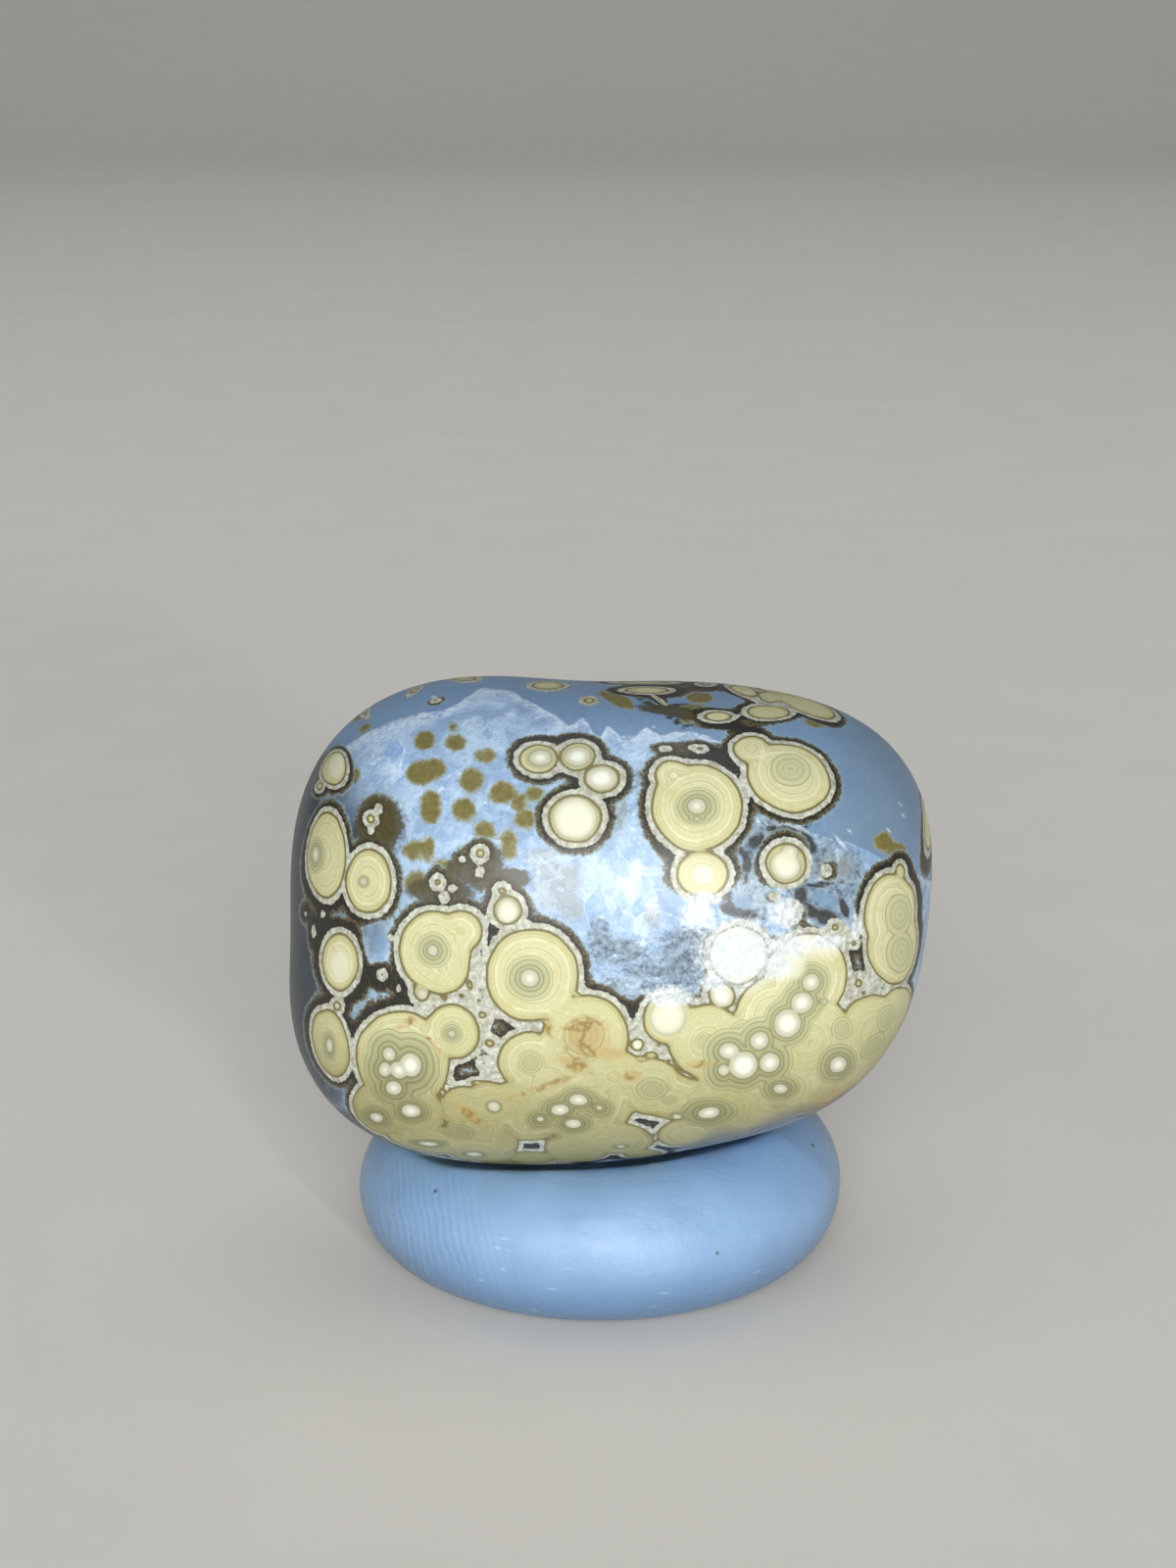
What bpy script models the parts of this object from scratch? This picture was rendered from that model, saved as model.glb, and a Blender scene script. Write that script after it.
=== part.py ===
"""An orbicular agate pebble standing on a pressed pad of putty.

Two pieces: the pebble, a rounded block with soft swells and hollows, and the round pad that
it is pressed into. The pad's flat underside lies on Z = 0 with its centre at the origin, the
pebble's broad face looks along -Y, and its long axis runs along X.
"""

import math

import bmesh
import bpy
from mathutils import Vector

MM = 0.001

# The pebble: half sizes across, deep and high, and where its middle sits over the pad.
PEBBLE_HALF = Vector((17.7, 12.6, 13.4)) * MM
PEBBLE_CENTRE = Vector((0.5, -1.3, 20.75)) * MM
PEBBLE_SQUARENESS = 2.46  # 2 is an egg, and higher numbers are nearer to a rounded block
PEBBLE_FINENESS = 5  # 5120 flat facets, each about 1.1 mm along its sides

# Swells (above 0) and hollows (below 0) of the worn surface: the way out from the middle,
# across, back and up, then how far the form spreads in degrees, and its height in mm.
PEBBLE_FORMS = (
    ("right_shoulder", (0.85, 0.16, 0.46), 24, 1.5),
    ("top_saddle", (-0.12, 0.32, 0.94), 20, -0.35),
    ("left_shoulder", (-0.74, 0.20, 0.60), 28, 1.6),
    ("left_waist", (-1.00, 0.00, -0.02), 12, -0.35),
    ("left_heel", (-0.78, -0.20, -0.54), 26, 1.6),
    ("right_underside", (0.48, -0.35, -0.80), 24, -0.8),
    ("right_heel", (0.88, -0.18, -0.42), 20, -0.3),
)

# The pad of putty: a ball pressed to a round cushion, a little wider than it is deep.
PAD_RADIUS = 14.1 * MM
PAD_FOOT_RADIUS = 9.4 * MM  # the flat ring that it stands on
PAD_HEIGHT = 8.8 * MM
PAD_DEPTH_SHARE = 0.94  # its depth as a share of its width
PAD_SEGMENTS = 64
PAD_ROUND_STEPS = 7  # steps of each quarter round
PAD_LEAN = 0.4 * MM  # the pad is this much higher at its right than at its middle

IMPRINT_GAP = 0.35 * MM  # left between the pebble and the hollow that it pressed


def main():
    clear_scene()
    pebble = add_pebble()
    pad = add_pad()
    press_hollow(pad)
    return pebble, pad


def clear_scene():
    for old in list(bpy.data.objects):
        bpy.data.objects.remove(old)


def material(name, colour, roughness):
    made = bpy.data.materials.new(name)
    made.use_nodes = True
    surface = made.node_tree.nodes["Principled BSDF"]
    surface.inputs["Base Color"].default_value = (*colour, 1.0)
    surface.inputs["Roughness"].default_value = roughness
    surface.inputs["Metallic"].default_value = 0.0
    made.diffuse_color = (*colour, 1.0)
    return made


def add_object(name, shape, surface=None):
    mesh = bpy.data.meshes.new(name)
    shape.to_mesh(mesh)
    shape.free()
    mesh.shade_smooth()
    made = bpy.data.objects.new(name, mesh)
    bpy.context.scene.collection.objects.link(made)
    if surface:
        mesh.materials.append(surface)
    return made


# The pebble


def pebble_reach(way):
    """How far the pebble's surface lies from its middle along the unit vector way."""
    squared = sum(abs(part / half) ** PEBBLE_SQUARENESS for part, half in zip(way, PEBBLE_HALF))
    reach = squared ** (-1 / PEBBLE_SQUARENESS)
    for _, towards, spread, height in PEBBLE_FORMS:
        off = way.angle(Vector(towards))
        reach += height * MM * math.exp(-((off / math.radians(spread)) ** 2))
    return reach


def pebble_shape(stand_off=0.0):
    """The pebble's surface, or one that lies stand_off outside it."""
    shape = bmesh.new()
    bmesh.ops.create_icosphere(shape, subdivisions=PEBBLE_FINENESS, radius=1.0)
    for vert in shape.verts:
        # The sphere is drawn out to the pebble's proportions first, which evens the facets.
        way = Vector(part * half for part, half in zip(vert.co, PEBBLE_HALF)).normalized()
        vert.co = way * (pebble_reach(way) + stand_off)
    return shape


def add_pebble():
    agate = material("polished_agate", (0.42, 0.43, 0.32), 0.3)
    pebble = add_object("pebble", pebble_shape(), agate)
    pebble.location = PEBBLE_CENTRE
    return pebble


# The pad


def pad_profile():
    """Half of the pad's outline, from the edge of its flat foot out round its side and over its top."""
    side_height = PAD_HEIGHT / 2
    side_width = PAD_RADIUS - PAD_FOOT_RADIUS
    points = []
    for step in range(2 * PAD_ROUND_STEPS + 1):
        turn = math.radians(-90 + 90 * step / PAD_ROUND_STEPS)
        across = PAD_FOOT_RADIUS + side_width * math.cos(turn)
        points.append(Vector((across, 0.0, side_height * (1 + math.sin(turn)))))
    return points


def add_pad():
    shape = bmesh.new()
    verts = [shape.verts.new(point) for point in pad_profile()]
    edges = [shape.edges.new(pair) for pair in zip(verts, verts[1:])]
    bmesh.ops.spin(
        shape,
        geom=verts + edges,
        axis=(0, 0, 1),
        cent=(0, 0, 0),
        steps=PAD_SEGMENTS,
        angle=math.tau,
        use_merge=True,
    )
    bmesh.ops.remove_doubles(shape, verts=shape.verts, dist=0.01 * MM)
    rims = [edge for edge in shape.edges if edge.is_boundary]
    bmesh.ops.holes_fill(shape, edges=rims)
    for vert in shape.verts:
        raised = vert.co.z / PAD_HEIGHT
        vert.co.z += PAD_LEAN * raised * vert.co.x / PAD_RADIUS
        vert.co.y *= PAD_DEPTH_SHARE
    bmesh.ops.recalc_face_normals(shape, faces=shape.faces)
    putty = material("blue_grey_putty", (0.20, 0.30, 0.45), 0.55)
    return add_object("putty_stand", shape, putty)


def press_hollow(pad):
    """Cuts the hollow that the pebble rests in out of the pad's top."""
    cutter = add_object("pebble_imprint", pebble_shape(IMPRINT_GAP))
    cutter.location = PEBBLE_CENTRE
    cutter.hide_render = True
    cutter.display_type = "WIRE"
    press = pad.modifiers.new("press", "BOOLEAN")
    press.operation = "DIFFERENCE"
    press.object = cutter


main()
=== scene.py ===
"""The looks of an orbicular agate pebble that stands in a pressed pad of putty.

The stone is blue chalcedony full of round orbs. Each orb has a pale crystalline rim, a thin
brown line inside it, a cream filling with fine rings, and one or more white eyes, and a dark
halo lies round it in the blue. Where orbs have grown into each other they share one outline.

The skin is closely cut. Each of its points is told how far it lies from the orbs, eyes and
stains, and the stone's material turns those distances into rims, rings, halos and clouds.
"""

import math
import random

import bpy
import numpy as np
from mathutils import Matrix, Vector, noise


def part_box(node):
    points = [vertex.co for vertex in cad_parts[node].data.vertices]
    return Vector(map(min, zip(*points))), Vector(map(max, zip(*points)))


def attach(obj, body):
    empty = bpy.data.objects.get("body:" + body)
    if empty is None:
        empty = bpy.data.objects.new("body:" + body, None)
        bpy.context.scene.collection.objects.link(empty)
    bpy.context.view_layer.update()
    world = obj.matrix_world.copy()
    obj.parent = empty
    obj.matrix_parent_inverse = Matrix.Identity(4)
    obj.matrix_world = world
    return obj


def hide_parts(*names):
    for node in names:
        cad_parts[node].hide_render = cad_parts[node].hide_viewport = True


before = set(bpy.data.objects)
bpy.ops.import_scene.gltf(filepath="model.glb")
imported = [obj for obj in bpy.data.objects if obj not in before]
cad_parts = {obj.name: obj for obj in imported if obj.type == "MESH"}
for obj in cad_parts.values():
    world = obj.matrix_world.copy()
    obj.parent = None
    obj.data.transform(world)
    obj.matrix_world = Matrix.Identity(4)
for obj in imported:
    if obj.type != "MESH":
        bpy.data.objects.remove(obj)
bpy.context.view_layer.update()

MM = 0.001

# How the stone is looked at. Places on its broad face are given as they are seen from there:
# millimetres across and up from the stone's middle, on a plane square to the line of sight.
STONE_MIDDLE = Vector((0.55, -1.3, 20.7)) * MM
SIGHT_HEIGHT = math.radians(18.5)
SIGHT_DISTANCE = 160 * MM
AIM_ACROSS = -1.25 * MM
AIM_UP = 7.67 * MM
LENS = 64.8
SENSOR = 36.0

# The floor that sweeps up into a wall, in metres.
FLOOR_RADIUS = 2.6
WALL_HEIGHT = 2.2
WALL_SWEEP = 1.45

# How finely the two surfaces are cut.
STONE_CUTS = 96  # cuts along each edge of the cube that the stone's skin is spread from
STONE_EASING = 50  # rounds of smoothing, which melt the solid's flat facets together
PUTTY_VOXEL = 0.24 * MM
PUTTY_EASING = 12
RIDGE_STEP = 0.45  # millimetres between the fingertip's ridges

# Orbs: across, up, half width, half height and, for a slanting one, its turn in degrees.
ORBS = (
    # left side, top to bottom
    (-15.7, 8.6, 1, 1.15), (-16.45, 7.5, 0.4, 0.4), (-16.2, 3.7, 1.4, 2.8), (-13.7, 2.15, 1.65, 2.15),
    (-15.3, -2.4, 1.35, 2), (-15.45, -4.9, 0.5, 0.6), (-15.9, -7.05, 1.35, 2.35, 8),
    # lower left mass
    (-11.85, -8.1, 3.05, 3.2), (-13.1, -10.9, 1.85, 2), (-11.25, -11, 2.2, 2), (-10.3, -12.6, 2.75, 1.1),
    (-8.95, -6.4, 1.9, 1.95), (-7.8, -13, 1.9, 1),
    # the big double orb and what clings to it
    (-9.95, -1.8, 2.4, 2.65), (-8.4, -0.65, 1.5, 1.6), (-9.5, -2.65, 1.9, 2), (-10.65, -4.15, 0.8, 0.85),
    (-12.4, -1.05, 0.2, 0.2),
    # middle
    (-5.8, 0.5, 1.15, 1.2), (-6.1, 1.6, 0.55, 0.55), (-4.4, -3.2, 2.95, 3.05), (-1.35, -6.75, 2.75, 2.85),
    (-4.5, -8.1, 2.2, 2.1), (-6.8, -10.7, 2, 1.85), (-8.25, -10.7, 1.65, 1.6), (-5.15, -10.4, 2, 1.65),
    # chain of white orbs
    (-4.05, 9.1, 1.45, 1.1), (-1.8, 9.25, 1.35, 1.1), (-0.4, 8, 1.35, 1.1), (-1.95, 5.75, 1.85, 1.7),
    # upper right pair and the orb under it
    (4.95, 6.45, 2.95, 2.85), (3.6, 8.2, 1.4, 1.1), (5.25, 2.55, 1.85, 1.65), (10.2, 8.2, 2.85, 2.15, -16),
    (8.05, 9.65, 1.35, 1.05), (10, 3.15, 1.5, 1.5),
    # top edge
    (6.1, 11.5, 1.2, 0.4), (9, 11.75, 1.6, 0.52), (11.1, 12.2, 2.1, 0.6, -19), (9.1, 12.6, 0.8, 0.5),
    (7.6, 13, 1.15, 0.4, -18), (5.4, 13.33, 0.7, 0.16), (2.1, 12.98, 1.65, 0.27), (1.9, 13.42, 2.2, 0.12),
    (9.3, 13.2, 1.45, 0.2, -10), (2.75, 12.45, 0.6, 0.12, -35),
    # pale rings in the dull blue of the top
    (-8.2, 13.65, 1.1, 0.22), (-3.5, 13.25, 1.2, 0.36), (-1.2, 12.4, 0.6, 0.3),
    (-11.1, 12.95, 0.6, 0.2, 35), (-13.9, 11.9, 0.4, 0.35), (-9.9, 12.4, 0.35, 0.16, 15),
    # right edge
    (18, 5.35, 0.35, 1.85), (16.1, 0.35, 1.9, 2.55), (16.3, -1.55, 1.85, 2.45), (16.45, 2.7, 0.55, 0.7),
    # right-hand mass
    (11.2, -3.35, 2.75, 2.9), (7.3, -2, 2, 2.05), (6.35, -4.35, 1.1, 1.1), (3.3, -5.65, 1.8, 1.8),
    (1.55, -7.1, 0.7, 0.7), (5.5, -7, 2.5, 2.5), (9.3, -5.45, 2.55, 2.55), (7.65, -7.9, 3.35, 2.9),
    (11.3, -6.9, 2.9, 2.9), (15.2, -6.75, 2.1, 2.65), (13.3, -8.55, 2.55, 2.2), (9.85, -9.65, 2.9, 2.1),
    (6.5, -10.55, 3.1, 1.9), (3.75, -10.2, 2, 1.65), (2.4, -9.6, 2.05, 2.05), (12.05, -10.1, 1.65, 1.1, 35),
    (16.25, -5.4, 1.2, 1.9, -15), (8.75, -11.2, 2.75, 0.9, 8),
    # bottom mass
    (-1.25, -10.55, 2.9, 2.35), (-2.85, -10.95, 2.2, 1.8), (0.75, -12.65, 2.1, 1.1),
    (-1.8, -13.3, 1.9, 0.8), (-3.45, -9.25, 2.2, 2.2), (0.2, -8.9, 2.2, 1.9), (-4.6, -11.7, 2, 1.25),
    (-7.2, -13.2, 2.2, 1.1), (-0.4, -12.3, 3.1, 1.1), (4.5, -12.2, 2.1, 1.15), (6.4, -12.2, 2.2, 0.6, 8),
    (-5.8, -14.1, 2.2, 0.5), (-3, -14.1, 1.6, 0.4), (1.9, -13.3, 1.4, 0.5), (-9.5, -13.9, 2.2, 0.4, -10),
    (-7.6, -11.9, 2.2, 1), (-2.9, -12.9, 1.05, 0.9), (-6, -12.7, 1.1, 1), (-4.4, -13.55, 1.6, 0.62),
    # pale pebbles with no core
    (-13.55, 5.65, 0.55, 0.55), (-13.05, 6.3, 0.25, 0.3), (-13.55, 5, 0.2, 0.25), (-9.75, 2.15, 0.5, 0.5),
    (-8.9, 1.8, 0.25, 0.25), (-9.4, 1.3, 0.3, 0.35), (-7.35, 3.7, 0.6, 0.6), (-7.3, 2.7, 0.3, 0.3),
    (-8.4, 3.45, 0.2, 0.2), (-12.85, -3.15, 0.35, 0.4), (-11.95, -3.9, 0.15, 0.2), (-16.25, 0.3, 0.15, 0.2),
    (-16.75, -0.65, 0.15, 0.4), (-17.2, 0.3, 0.1, 0.15), (3.1, 9.65, 0.4, 0.2), (4.7, 9.7, 0.3, 0.2),
    (5.1, 9.65, 0.55, 0.3), (12.3, 2.8, 0.35, 0.35), (10.2, 0.4, 0.8, 0.75), (9.3, 1.3, 0.35, 0.3),
    (12.75, -0.45, 0.5, 0.5), (13.85, -1.4, 0.45, 0.45), (14.1, -3.6, 0.45, 0.55),
    (14.35, -4.15, 0.35, 0.4),
    # the pale floor between the orbs
    (-7.9, -3.75, 0.45, 0.65), (-7.45, -3.05, 0.35, 0.35), (-7.4, -4.55, 0.45, 0.4),
    (-9.35, -4.45, 0.5, 0.45), (-8.4, -4.35, 0.5, 0.45), (-7.2, -5.4, 0.55, 0.55), (-6.8, -7, 0.65, 0.5),
    (-7.15, -8.1, 0.4, 0.35), (-7.5, -9.2, 0.8, 0.35), (2.35, -7.7, 0.8, 0.5), (2.75, -7.1, 0.4, 0.4),
    (1.8, -7.9, 0.9, 0.4),
)

# Eyes: across, up, half width, half height, and how wide the ringed zone round each is.
EYES = (
    # left side
    (-16.65, 3.65, 0.25, 0.45, 0.6), (-13.9, 2.15, 0.2, 0.2, 0.2), (-15.9, -7.1, 0.2, 0.4, 0.45),
    (-15.45, -4.9, 0.15, 0.15, 0.1),
    # lower left mass
    (-12.5, -7.65, 0.36, 0.4, 1.1), (-12.75, -8.5, 0.36, 0.42, 1.1), (-11.3, -8.25, 0.62, 0.72, 1.2),
    (-11.95, -8.55, 0.5, 0.5, 1.1), (-12.25, -9.55, 0.45, 0.42, 1), (-11.3, -10.85, 0.55, 0.42, 0.7),
    (-13.2, -11.25, 0.38, 0.3, 0.75), (-10.3, -12.7, 0.55, 0.15, 0.55), (-7.65, -13.3, 0.45, 0.15, 0.35),
    # middle
    (-10, -1.75, 0.3, 0.3, 0.7), (-4.55, -3.35, 0.5, 0.5, 0.8), (-5.8, 0.4, 0.6, 0.75, 0.2),
    (-8.95, -6.45, 0.2, 0.2, 0.45), (-1.8, -10.25, 0.55, 0.36, 0.7), (-2.85, -10.8, 0.5, 0.36, 0.7),
    (-2.05, -11.6, 0.45, 0.27, 0.6), (-0.6, -10.7, 0.2, 0.15, 0.7), (-3.95, -11.35, 0.2, 0.15, 0.65),
    (-6.55, -10.6, 0.35, 0.3, 0.2),
    # chain of white orbs
    (-3.95, 9.15, 0.6, 0.45, 0.3), (-1.8, 9.25, 0.75, 0.55, 0.2), (-0.4, 8, 0.85, 0.65, 0.15),
    (-1.95, 5.8, 1.2, 1.15, 0.2),
    # upper right
    (4.95, 6.4, 0.5, 0.45, 0.7), (4.95, 5.65, 0.2, 0.1, 0.2), (9.95, 3, 0.85, 0.75, 0.2),
    (10.2, 3.85, 0.45, 0.4, 0.2),
    # right-hand mass
    (11.35, -3.55, 0.52, 0.5, 0.7), (10.9, -4.75, 0.65, 0.62, 0.7), (10.05, -5.9, 0.76, 0.8, 0.7),
    (12.15, -4.65, 0.15, 0.15, 0.15), (8.5, -6.9, 0.52, 0.52, 0.85), (6.75, -7.45, 0.56, 0.52, 0.9),
    (7.6, -8.3, 0.85, 0.85, 0.85), (9.1, -8.1, 0.55, 0.58, 0.9), (6.45, -8.6, 0.3, 0.32, 0.9),
    (9.65, -9.6, 0.4, 0.3, 0.8), (12.95, -8.25, 0.5, 0.5, 0.95), (5.65, -10.95, 0.6, 0.36, 0.95),
    (1.55, -7.15, 0.45, 0.4, 0.1), (3.3, -5.5, 0.95, 0.95, 0.2), (6.35, -4.35, 0.7, 0.75, 0.1),
    (7.3, -2, 1.45, 1.5, 0.15), (-7.2, -5.4, 0.2, 0.2, 0.15), (10.2, 0.4, 0.45, 0.45, 0.1),
    (0.65, -12.85, 0.25, 0.1, 0.3), (3.8, -11.2, 0.25, 0.15, 0.3), (-10.6, -4.25, 0.3, 0.3, 0.1),
    (-9.35, -4.45, 0.2, 0.15, 0.1),
)

# Green hearts and patches of moss, given like the orbs.
GREEN_HEARTS = (
    # pale green hearts
    (10.25, 8.5, 1.2, 0.95), (-4.5, -8.1, 0.65, 0.65), (-1.45, -6.6, 1.15, 1.1), (2.4, -9.6, 0.9, 0.65),
    (3.45, -10.25, 0.45, 0.3), (7.45, -6.3, 0.7, 0.65), (5.3, -6.9, 0.5, 0.5),
    (15.65, -5.6, 0.55, 0.8, -15), (13.15, -6.2, 0.65, 0.65), (14.95, -7.15, 0.55, 0.95, -40),
    (9.55, -10.6, 0.55, 0.2), (-8.55, -12.05, 0.95, 0.5), (16.4, 0.25, 0.9, 1.2), (16.5, -1.85, 0.9, 1.2),
    (-8.95, -6.45, 0.35, 0.35), (-15.9, -7.1, 0.45, 0.9), (-16.65, 3.65, 0.5, 1),
)

MOSS = (
    # olive patches in the pale blue
    (-10.5, 10.15, 0.6, 0.5), (-8.7, 10, 0.55, 0.45), (-7.4, 9.3, 0.25, 0.25), (-6.85, 9.3, 0.35, 0.35),
    (-10.7, 8.3, 0.8, 0.65), (-9.9, 8.55, 0.6, 0.55), (-7.8, 7.9, 0.65, 0.65), (-10.15, 6.7, 0.55, 0.55),
    (-10.15, 6, 0.55, 0.55), (-8.25, 6.25, 0.65, 0.65), (-6.1, 7.15, 0.65, 0.65), (-7.1, 5.05, 0.55, 0.5),
    (-5.7, 4.6, 0.4, 0.45), (-5.75, 3.85, 0.4, 0.45), (-11.15, 3.9, 0.55, 0.5), (-10.3, 4, 0.4, 0.6),
    (-8.85, 10.9, 0.2, 0.2), (-13.85, 10.85, 0.4, 0.2, 28), (-14.45, 8.15, 0.35, 0.4),
    (-4.25, 7.15, 0.45, 0.45), (-5.15, 6.6, 0.35, 0.4), (-4.7, 5.65, 0.6, 0.55), (-13.15, 6.2, 0.95, 0.9),
    (-12.95, 5.15, 0.9, 0.85), (-10.85, 2.1, 0.8, 0.6), (-8.2, 3.6, 0.5, 0.55),
    (-14.25, 11.5, 0.4, 0.2, 30), (0.35, 12.5, 1.15, 0.35, -26), (5.1, 12.6, 0.7, 0.3),
    (4.75, 11.95, 0.9, 0.2), (15.5, 4.4, 0.6, 0.5), (16.3, 3.85, 0.65, 0.45), (11.55, 11.1, 0.55, 0.2, -15),
    (4.4, 11.4, 0.45, 0.3), (-17.2, -1.85, 0.3, 0.55), (-9.3, 2.85, 0.65, 0.5), (5.1, 12.5, 0.65, 0.25),
)

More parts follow.
